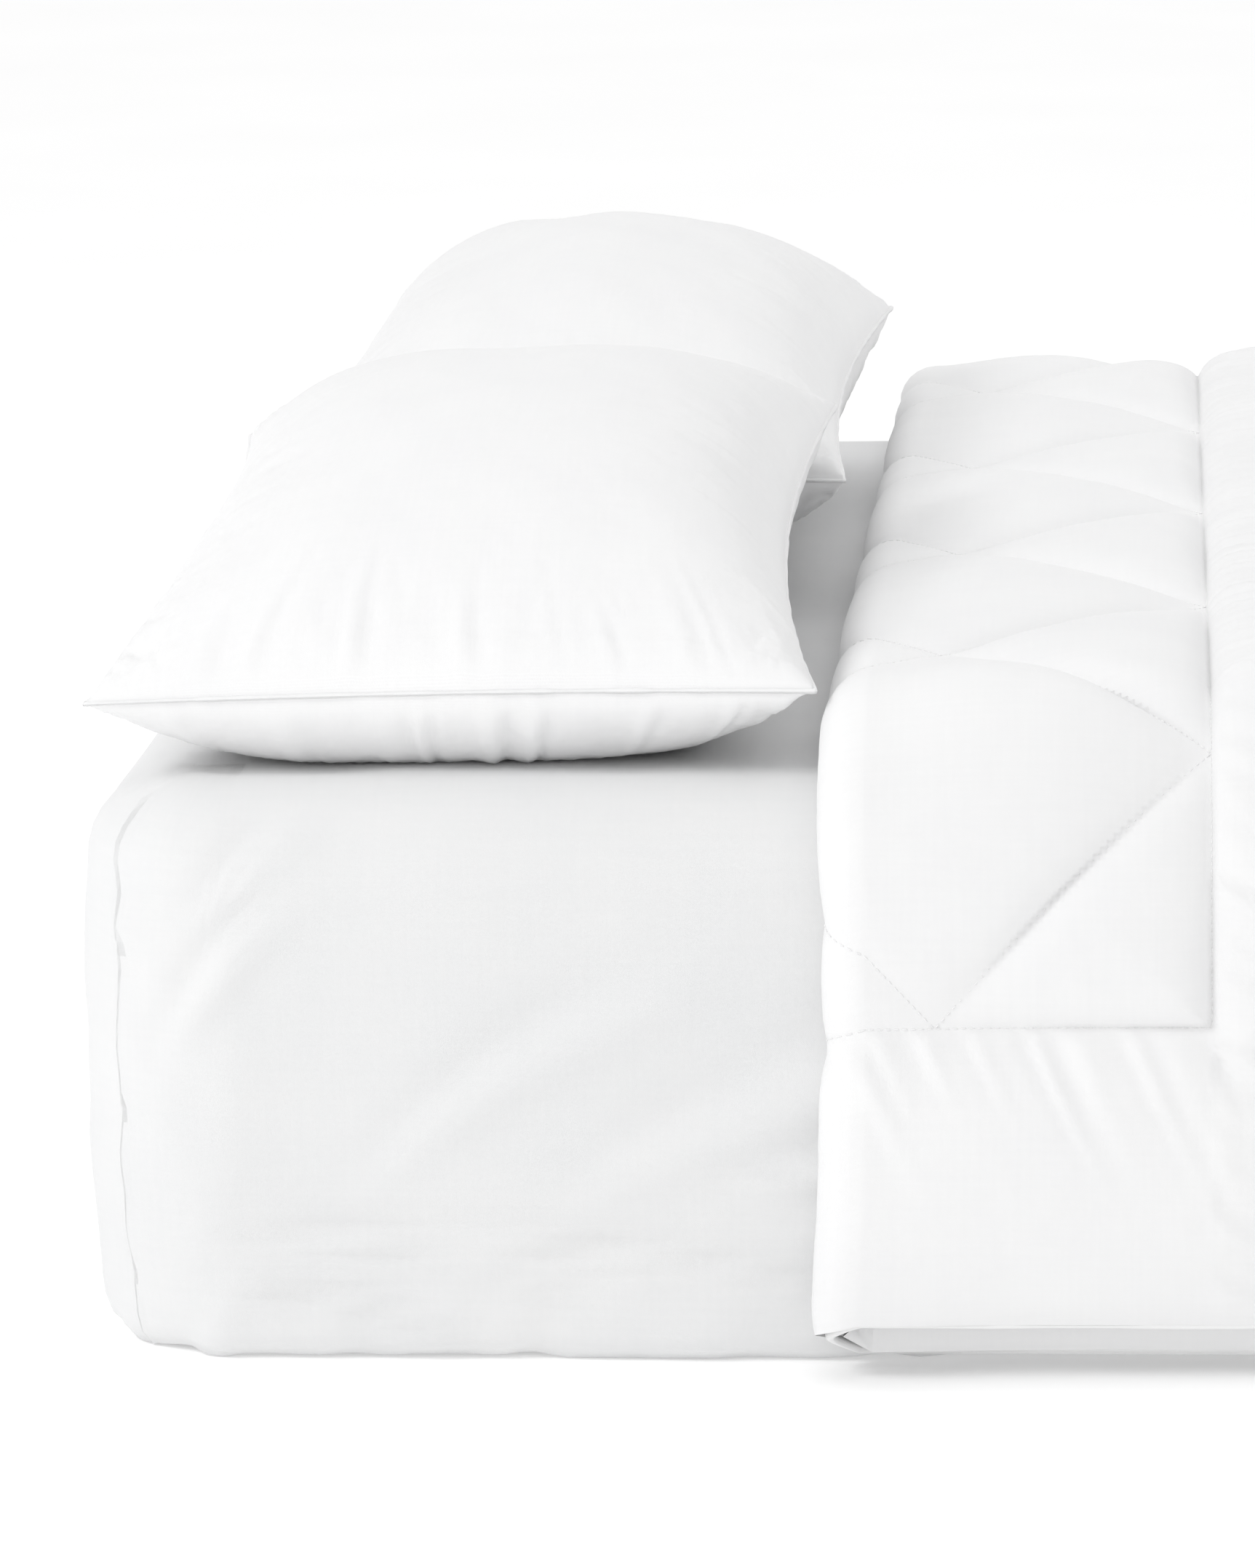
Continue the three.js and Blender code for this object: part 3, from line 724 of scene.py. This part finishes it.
# %% Make a pillow
def make_pillow(name, shape, rest, seed):
    even = np.linspace(-1, 1, 161)
    lines = 0.4 * even + 0.6 * np.sin(even * math.pi / 2)
    u, v = np.meshgrid(lines, lines, indexing="ij")
    seam = pillow_seam(shape, u, v)
    uneven = 1 + 0.05 * rolling(u, v, 0.55, seed) + 0.025 * rolling(u, v, 0.23, seed + 1)
    rise = shape["thick"] * crown(u, v) * uneven
    ground = np.where(crown(u, v) > 0, rest(seam[..., 0], seam[..., 1]), -1)
    top, bottom = seam.copy(), seam.copy()
    bottom[..., 2] = np.maximum(seam[..., 2] - rise, ground)
    top[..., 2] = np.maximum(seam[..., 2] + rise, bottom[..., 2] + 0.004 * (crown(u, v) > 0))
    points, quads, upper, lower, rim = sewn_pair(top, bottom)
    held = np.concatenate([rim.ravel(), np.zeros((~rim).sum(), bool)])
    shaken = np.random.default_rng(seed).uniform(-0.0003, 0.0003, points.shape) * ~held[:, None]
    moved = let_cloth_settle(points + shaken, quads, held, 0.012, 5.0, 1.0, frames=12) - points
    loose = 1 - np.exp(-(1 - np.maximum(np.abs(u), np.abs(v))) / 0.015)
    above, below = (ripples(moved[index, 2], 9) * loose for index in (upper, lower))
    above += seam_gathers(u, v, seed) + closing_hem(u, v)
    below -= 1.5 * seam_gathers(u, v, seed + 1)
    points[upper, 2] += np.clip(above, -0.004, 0.008)
    points[lower[~rim], 2] += np.clip(below, -0.008, 0.006)[~rim]
    points[upper.size:, 2] = np.maximum(points[upper.size:, 2], ground[~rim])
    piece = new_mesh(name, points, quads)
    flat_case = (half_flat_x * u, half_flat_y * v)
    keep_cloth_place(piece, *(np.concatenate([side.ravel(), side[~rim]]) for side in flat_case))
    body = name.replace("_case", "")
    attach(piece, body)
    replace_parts(piece, body + "_case_top", body + "_case_bottom")
    print(name, "has", len(points), "points")
    return seam


far_seam = make_pillow("pillow_far_case", far_shape, lambda x, y: np.full_like(x, resting), 41)
near_seam = make_pillow("pillow_near_case", near_shape, far_pillow_top, 51)

# %% A sewn edge round each pillow
def sewn_edge(name, body, seam, seed):
    loop = np.concatenate([seam[:-1, 0], seam[-1, :-1], seam[:0:-1, -1], seam[0, :0:-1]])
    size = 0.0016 * (1 + 0.3 * rolling(loop[:, 0], loop[:, 1], 0.012, seed))
    edge = tube(name, loop, size)
    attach(edge, body)


sewn_edge("pillow_far_seam", "pillow_far", far_seam, 61)
sewn_edge("pillow_near_seam", "pillow_near", near_seam, 62)

# %% [markdown]
# ## The fitted sheet
# A fitted sheet is a shallow cotton box with elastic round its mouth. It covers the mattress's top
# and sides and turns under it. It is stretched, so its creases are long and straight: they run
# slanting from the corners, where the sheet is pulled hardest. One grid makes it: the flat middle,
# and round it rings that go over the edge, down the side and under the mattress.

# %% The sheet's rings
plan_corner, foot_radius, lip_width = 0.09, 0.024, 0.15
side_height = bed_top - edge_radius - foot_radius
ring_steps = [plan_corner - edge_radius, edge_radius * math.pi / 2, side_height,
              foot_radius * math.pi / 2, lip_width - foot_radius]
ring_ends = np.cumsum(ring_steps)


def sheet_profile(d):
    """How far the sheet is inside the bed's outline, and its height, d metres from the flat top;
    with the outward direction there."""
    d0, d1, d2, d3 = ring_ends[:4]
    over = np.clip((d - d0) / (d1 - d0), 0, 1) * math.pi / 2
    under = np.clip((d - d2) / (d3 - d2), 0, 1) * math.pi / 2
    inset = np.where(d < d0, plan_corner - d, edge_radius * (1 - np.sin(over)))
    inset = inset + foot_radius * (1 - np.cos(under)) + np.maximum(0, d - d3)
    height = bed_top - edge_radius * (1 - np.cos(over)) - np.clip(d - d1, 0, side_height)
    height = height - foot_radius * np.sin(under)
    tip = over + under
    return inset, height, np.sin(tip), np.cos(tip)


def sheet_grid(spacing):
    core_x, core_y = bed_high.x - plan_corner, bed_high.y - plan_corner
    reach = ring_ends[-1]
    rings = np.linspace(0, reach, round(reach / spacing) + 1)
    lines = []
    for core in (core_x, core_y):
        middle = np.linspace(-core, core, round(2 * core / spacing) + 1)
        lines.append(np.concatenate([-core - rings[:0:-1], middle, core + rings[1:]]))
    return (*np.meshgrid(*lines, indexing="ij"), core_x, core_y)


sheet_x, sheet_y, core_x, core_y = sheet_grid(0.0095)
past_x, past_y = np.maximum(0, np.abs(sheet_x) - core_x), np.maximum(0, np.abs(sheet_y) - core_y)
ring = np.maximum(past_x, past_y)
share_y = np.divide(past_y, past_x, out=np.zeros_like(ring), where=past_x > 0)
share_x = np.divide(past_x, past_y, out=np.zeros_like(ring), where=past_y > 0)
angle = np.where(past_x >= past_y, share_y, 2 - share_x) * math.pi / 4
inset, height, out_flat, out_up = sheet_profile(ring)
plan = plan_corner - inset
way_x, way_y = np.sign(sheet_x) * np.cos(angle), np.sign(sheet_y) * np.sin(angle)
rest_x = np.clip(sheet_x, -core_x, core_x) + plan * way_x
rest_y = np.clip(sheet_y, -core_y, core_y) + plan * way_y
rest_x, rest_y = np.where(ring > 0, rest_x, sheet_x), np.where(ring > 0, rest_y, sheet_y)
print("the sheet goes", round(float(ring_ends[-1]), 3), "m out from its flat middle")

# %% Metres round the sheet
quarter = core_y + plan_corner * math.pi / 2 + core_x
from_end = np.where(past_x > 0, np.minimum(np.abs(sheet_y), core_y) + plan_corner * angle,
                    quarter - np.abs(sheet_x))
place = np.where(sheet_x >= 0, from_end, 2 * quarter - from_end)
place = np.where(sheet_y >= 0, place, 4 * quarter - place)   # metres round the sheet, from the foot
depth = ring - ring_ends[0]                          # down from where the top edge starts to turn
side_share = np.clip(depth / 0.06, 0, 1) * np.clip((ring_ends[-1] - ring) / 0.10, 0.25, 1)


# %% Creases of a stretched sheet
def long_creases(rows):
    """Each row is a start and an end, as (metres round, metres down), a height and a width."""
    return sum(high * crease(place, depth, start, end, wide) for start, end, high, wide in rows)


near_corner = 2 * quarter + core_y + plan_corner * math.pi / 4
pulls = [((near_corner + x0, z0), (near_corner + x1, z1), high, wide)
         for x0, z0, x1, z1, high, wide in (
             (0.13, 0.29, 0.38, 0.13, 0.0030, 0.011), (0.26, 0.31, 0.50, 0.17, 0.0028, 0.013),
             (0.36, 0.29, 0.54, 0.22, 0.0030, 0.008), (0.40, 0.31, 0.56, 0.25, 0.0030, 0.007),
             (0.02, 0.20, 0.12, 0.09, 0.0030, 0.008), (0.03, 0.13, 0.13, 0.05, 0.0028, 0.007),
             (0.02, 0.29, 0.30, 0.365, 0.0026, 0.007), (0.08, 0.30, 0.46, 0.37, 0.0028, 0.008),
             (0.22, 0.32, 0.60, 0.375, 0.0026, 0.007), (0.02, 0.33, 0.22, 0.38, 0.0026, 0.006))]
draw = np.random.default_rng(71)
for k in range(46):
    start = draw.uniform(0, 4 * quarter)
    if abs(start - near_corner - 0.2) > 0.35:
        run, low = draw.uniform(0.14, 0.40) * draw.choice((-1, 1)), draw.uniform(0.20, 0.33)
        pulls.append(((start, low), (start + run, low - draw.uniform(0.05, 0.16)),
                      draw.uniform(0.0014, 0.0028), draw.uniform(0.006, 0.013)))
creases = 1.9 * long_creases(pulls)
print("the sheet has", len(pulls), "long creases")

# %% Put the sheet's folds together
slack = 0.0034 * rolling(place, depth, 0.17, 75) + 0.0016 * rolling(place, depth, 0.07, 76)
belly = 0.011 * np.sin(np.clip(depth / (ring_ends[3] - ring_ends[0]), 0, 1) * math.pi) ** 0.7
at_foot = np.exp(-((ring - ring_ends[3] + 0.01) / 0.045) ** 2)
tucks = 0.0042 * rolling(place + 0.5 * depth, depth * 0.2, 0.022, 77) * at_foot
top_roll = 0.0011 * rolling(rest_x, rest_y, 0.13, 78) + 0.0006 * rolling(rest_x, rest_y, 0.045, 79)
in_corner = np.minimum(past_x, past_y) > 0
dart = np.exp(-(plan_corner * (angle - math.pi / 4) / 0.0022) ** 2) * in_corner
corners = [k * quarter + sign * (core_y + plan_corner * math.pi / 4)
           for k, sign in ((0, 1), (2, -1), (2, 1), (4, -1))]
to_dart = np.min([np.abs(place - corner) for corner in corners], axis=0)
dart_folds = 0.0034 * rolling(place, depth, 0.024, 80) * np.exp(-to_dart / 0.05)
bulge = (slack + 0.001) * side_share + belly + creases * side_share + tucks
bulge = bulge + (0.0012 * dart + dart_folds) * side_share
bulge = np.where(ring > ring_ends[0], bulge, top_roll)
under_duvet = np.clip((rest_x - fold_x - 0.01) / 0.11, 0, 1) * (ring < ring_ends[3])
under_duvet = under_duvet ** 2 * (3 - 2 * under_duvet)
bulge = bulge + (np.minimum(bulge, 0.0022) - bulge) * under_duvet
bulge = np.maximum(bulge, -0.0012)
print("the sheet stands out by up to", round(float(bulge.max()) * 1000, 1), "mm")

# %% Make the sheet
outward = np.stack([out_flat * way_x, out_flat * way_y, out_up], -1)
sheet_points = np.stack([rest_x, rest_y, height], -1) + outward * bulge[..., None]
sheet_points[..., 2] = np.maximum(sheet_points[..., 2], 0.0004)
sheet = new_mesh("fitted_sheet_cloth", sheet_points, grid_quads(grid_index(sheet_points)))
turned_x = (angle < math.pi / 4) & (ring > 0)
side_x, side_y = np.minimum(np.abs(sheet_x), core_x), np.minimum(np.abs(sheet_y), core_y)
round_x = side_x + plan_corner * (math.pi / 2 - angle) * (past_x > 0)
cloth_x = np.where(turned_x, sheet_x, np.sign(sheet_x) * round_x)
cloth_y = np.where(turned_x, np.sign(sheet_y) * (side_y + plan_corner * angle), sheet_y)
keep_cloth_place(sheet, cloth_x, cloth_y)
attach(sheet, "bed")
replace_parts(sheet, "fitted_sheet")

# %% [markdown]
# ## White cotton
# White cloth is never one flat white. Threads cross and make a fine weave, some threads are
# thicker, and the fibres give a soft sheen at the edges of each fold. The weave is worked out from
# where each point lies on the flat cloth, so the threads bend with it. An image of cloth would
# repeat, and would blur when seen close.

# %% Node helpers
def new_material(name):
    material = bpy.data.materials.new(name)
    material.use_nodes = True
    return material, material.node_tree, material.node_tree.nodes["Principled BSDF"]


def feed(tree, target, source):
    if isinstance(source, (int, float)):
        target.default_value = source
    else:
        tree.links.new(source, target)


def sum_up(tree, operation, *values):
    node = tree.nodes.new("ShaderNodeMath")
    node.operation = operation
    for k, value in enumerate(values):
        feed(tree, node.inputs[k], value)
    return node.outputs[0]


def cloud(tree, place, scale, detail=3.0, stretch=(1, 1, 1)):
    squeeze = tree.nodes.new("ShaderNodeMapping")
    squeeze.inputs["Scale"].default_value = [scale * k for k in stretch]
    tree.links.new(place, squeeze.inputs["Vector"])
    noise = tree.nodes.new("ShaderNodeTexNoise")
    noise.inputs["Scale"].default_value = 1
    noise.inputs["Detail"].default_value = detail
    tree.links.new(squeeze.outputs[0], noise.inputs["Vector"])
    return noise.outputs[0]


def tint(tree, amount, low, high):
    ramp = tree.nodes.new("ShaderNodeValToRGB")
    ramp.color_ramp.elements[0].position, ramp.color_ramp.elements[1].position = 0.3, 0.7
    ramp.color_ramp.elements[0].color = (*low, 1)
    ramp.color_ramp.elements[1].color = (*high, 1)
    tree.links.new(amount, ramp.inputs[0])
    return ramp.outputs[0]


def add_bump(tree, shader, height, depth, strength):
    bump = tree.nodes.new("ShaderNodeBump")
    bump.inputs["Strength"].default_value = strength
    bump.inputs["Distance"].default_value = depth
    tree.links.new(height, bump.inputs["Height"])
    tree.links.new(bump.outputs[0], shader.inputs["Normal"])


# %% Woven cotton
def woven_cotton(name, low, high, thread_pitch, sheen):
    material, tree, shader = new_material(name)
    place = tree.nodes.new("ShaderNodeAttribute")
    place.attribute_name = "cloth"
    flat = place.outputs["Vector"]
    parts = tree.nodes.new("ShaderNodeSeparateXYZ")
    tree.links.new(flat, parts.inputs[0])
    turns = 2 * math.pi / (2 * thread_pitch)
    warp = sum_up(tree, "SINE", sum_up(tree, "MULTIPLY", parts.outputs[0], turns))
    weft = sum_up(tree, "SINE", sum_up(tree, "MULTIPLY", parts.outputs[1], turns))
    weave = sum_up(tree, "MULTIPLY", warp, weft)
    slub_a = cloud(tree, flat, 260, 2, (1, 0.05, 1))
    slub_b = cloud(tree, flat, 260, 2, (0.05, 1, 1))
    slubs = sum_up(tree, "ADD", slub_a, slub_b)
    crumple = cloud(tree, flat, 55, 4)
    height = sum_up(tree, "MULTIPLY_ADD", weave, 0.5, sum_up(tree, "MULTIPLY", slubs, 1.2))
    height = sum_up(tree, "MULTIPLY_ADD", crumple, 3.0, height)
    add_bump(tree, shader, height, 0.00012, 0.8)
    shade = sum_up(tree, "ADD", sum_up(tree, "MULTIPLY", cloud(tree, flat, 9, 3), 0.6),
                   sum_up(tree, "MULTIPLY", slubs, 0.2))
    tree.links.new(tint(tree, shade, low, high), shader.inputs["Base Color"])
    tree.links.new(sum_up(tree, "MULTIPLY_ADD", slubs, 0.08, 0.74), shader.inputs["Roughness"])
    shader.inputs["Sheen Weight"].default_value = sheen
    shader.inputs["Sheen Roughness"].default_value = 0.45
    shader.inputs["Specular IOR Level"].default_value = 0.25
    return material


duvet_cotton = woven_cotton(
    "duvet_cotton", (0.87, 0.87, 0.875), (0.91, 0.91, 0.91), 0.00032, 0.25)
pillow_cotton = woven_cotton(
    "pillow_cotton", (0.885, 0.885, 0.89), (0.92, 0.92, 0.92), 0.00034, 0.25)
# The sheet's white is darker than the duvet's and the pillows'. Part of that is the cotton's own white,
# and part is painted shade for the sheet's sides, which stand in less light.
sheet_cotton = woven_cotton(
    "sheet_cotton", (0.79, 0.795, 0.80), (0.83, 0.83, 0.83), 0.00034, 0.18)
piping_cotton = woven_cotton(
    "piping_cotton", (0.88, 0.88, 0.88), (0.92, 0.92, 0.92), 0.0005, 0.3)
back.data.materials.append(duvet_cotton)
face.data.materials.append(duvet_cotton)
sheet.data.materials.append(sheet_cotton)
piping.data.materials.append(piping_cotton)
sewing.data.materials.append(piping_cotton)
for name in ("pillow_near_case", "pillow_far_case", "pillow_near_seam", "pillow_far_seam"):
    bpy.data.objects[name].data.materials.append(pillow_cotton)

# %% [markdown]
# ## What is inside
# The plain model also holds what never shows: foams, felt, coil pockets, ticking and filling. Their
# shapes are right already, so each only gets a finish, whose pattern comes from where a point is in
# the object.

# %% Finishes for the hidden parts
def open_foam(name, low, high, size):
    material, tree, shader = new_material(name)
    where = tree.nodes.new("ShaderNodeTexCoord").outputs["Object"]
    cells = tree.nodes.new("ShaderNodeTexVoronoi")
    cells.inputs["Scale"].default_value = 1 / size
    tree.links.new(where, cells.inputs["Vector"])
    tree.links.new(tint(tree, cloud(tree, where, 12), low, high), shader.inputs["Base Color"])
    add_bump(tree, shader, cells.outputs["Distance"], size * 0.6, 0.7)
    shader.inputs["Roughness"].default_value = 0.95
    return material


def fibre(name, low, high, size, sheen=0.1):
    material, tree, shader = new_material(name)
    where = tree.nodes.new("ShaderNodeTexCoord").outputs["Object"]
    strands = sum_up(tree, "ADD", cloud(tree, where, 1 / size, 5, (1, 0.15, 1)),
                     cloud(tree, where, 1 / size, 5, (0.15, 1, 1)))
    tree.links.new(tint(tree, cloud(tree, where, 30), low, high), shader.inputs["Base Color"])
    add_bump(tree, shader, strands, size * 0.4, 0.6)
    shader.inputs["Roughness"].default_value = 0.9
    shader.inputs["Sheen Weight"].default_value = sheen
    return material


def ribbed(name, low, high, pitch, axis):
    material, tree, shader = new_material(name)
    where = tree.nodes.new("ShaderNodeTexCoord").outputs["Object"]
    parts = tree.nodes.new("ShaderNodeSeparateXYZ")
    tree.links.new(where, parts.inputs[0])
    wave = sum_up(tree, "SINE", sum_up(tree, "MULTIPLY", parts.outputs[axis], 2 * math.pi / pitch))
    tree.links.new(tint(tree, cloud(tree, where, 60), low, high), shader.inputs["Base Color"])
    add_bump(tree, shader, wave, pitch * 0.3, 0.7)
    shader.inputs["Roughness"].default_value = 0.7
    shader.inputs["Sheen Weight"].default_value = 0.15
    return material


inner_finishes = {
    "foam": open_foam("bed_foam", (0.80, 0.76, 0.62), (0.86, 0.83, 0.70), 0.0022),
    "felt": fibre("bed_felt", (0.34, 0.34, 0.36), (0.52, 0.52, 0.54), 0.004),
    "coil_pockets": fibre("coil_pocket_cloth", (0.72, 0.74, 0.77), (0.80, 0.82, 0.85), 0.0015),
    "mattress_ticking": fibre("bed_ticking", (0.76, 0.76, 0.76), (0.84, 0.84, 0.84), 0.0009, 0.2),
    "tape": ribbed("bed_tape", (0.66, 0.67, 0.70), (0.74, 0.75, 0.78), 0.0012, 2),
    "elastic": ribbed("sheet_elastic_rib", (0.80, 0.80, 0.79), (0.87, 0.87, 0.86), 0.0016, 1),
    "pillow_ticking": fibre(
        "pillow_ticking_cloth", (0.80, 0.80, 0.79), (0.87, 0.87, 0.86), 0.0008, 0.2),
    "filling": fibre("soft_filling", (0.84, 0.84, 0.83), (0.92, 0.92, 0.91), 0.006, 0.3),
}
name_ends = {
    "foam": ("foam", "rail_far", "rail_head", "rail_near", "rail_foot"),
    "felt": ("felt",), "tape": ("tape",), "elastic": ("elastic",), "filling": ("filling",),
    "mattress_ticking": ("panel", "border"), "pillow_ticking": ("ticking_top", "ticking_bottom"),
}
replaced = {node for piece in bpy.data.objects for node in piece.get("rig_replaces", [])}
finished = 0
for node_name, node in frame["nodes"].items():
    if node_name in replaced:
        continue
    finish = "coil_pockets"
    for kind, ends in name_ends.items():
        if node_name.endswith(ends):
            finish = kind
    node.data.materials.clear()
    node.data.materials.append(inner_finishes[finish])
    finished += 1
print(finished, "hidden parts have a finish of their own")

# %% [markdown]
# ## The floor
# The bed stands on a plain pale floor that is part of the stage and not of the object.

# %% Lay the floor
half_floor, just_under = 30, -0.0005
floor = new_mesh("floor", [(half_floor * a, half_floor * b, just_under)
                           for a, b in ((-1, -1), (1, -1), (1, 1), (-1, 1))], [[0, 1, 2, 3]])
floor_paint, tree, shader = new_material("pale_floor")
where = tree.nodes.new("ShaderNodeTexCoord").outputs["Object"]
tree.links.new(tint(tree, cloud(tree, where, 2), (0.90, 0.90, 0.90), (0.92, 0.92, 0.92)),
               shader.inputs["Base Color"])
shader.inputs["Roughness"].default_value = 0.9
shader.inputs["Emission Color"].default_value = (1, 1, 1, 1)
shader.inputs["Emission Strength"].default_value = 0.22
floor.data.materials.append(floor_paint)
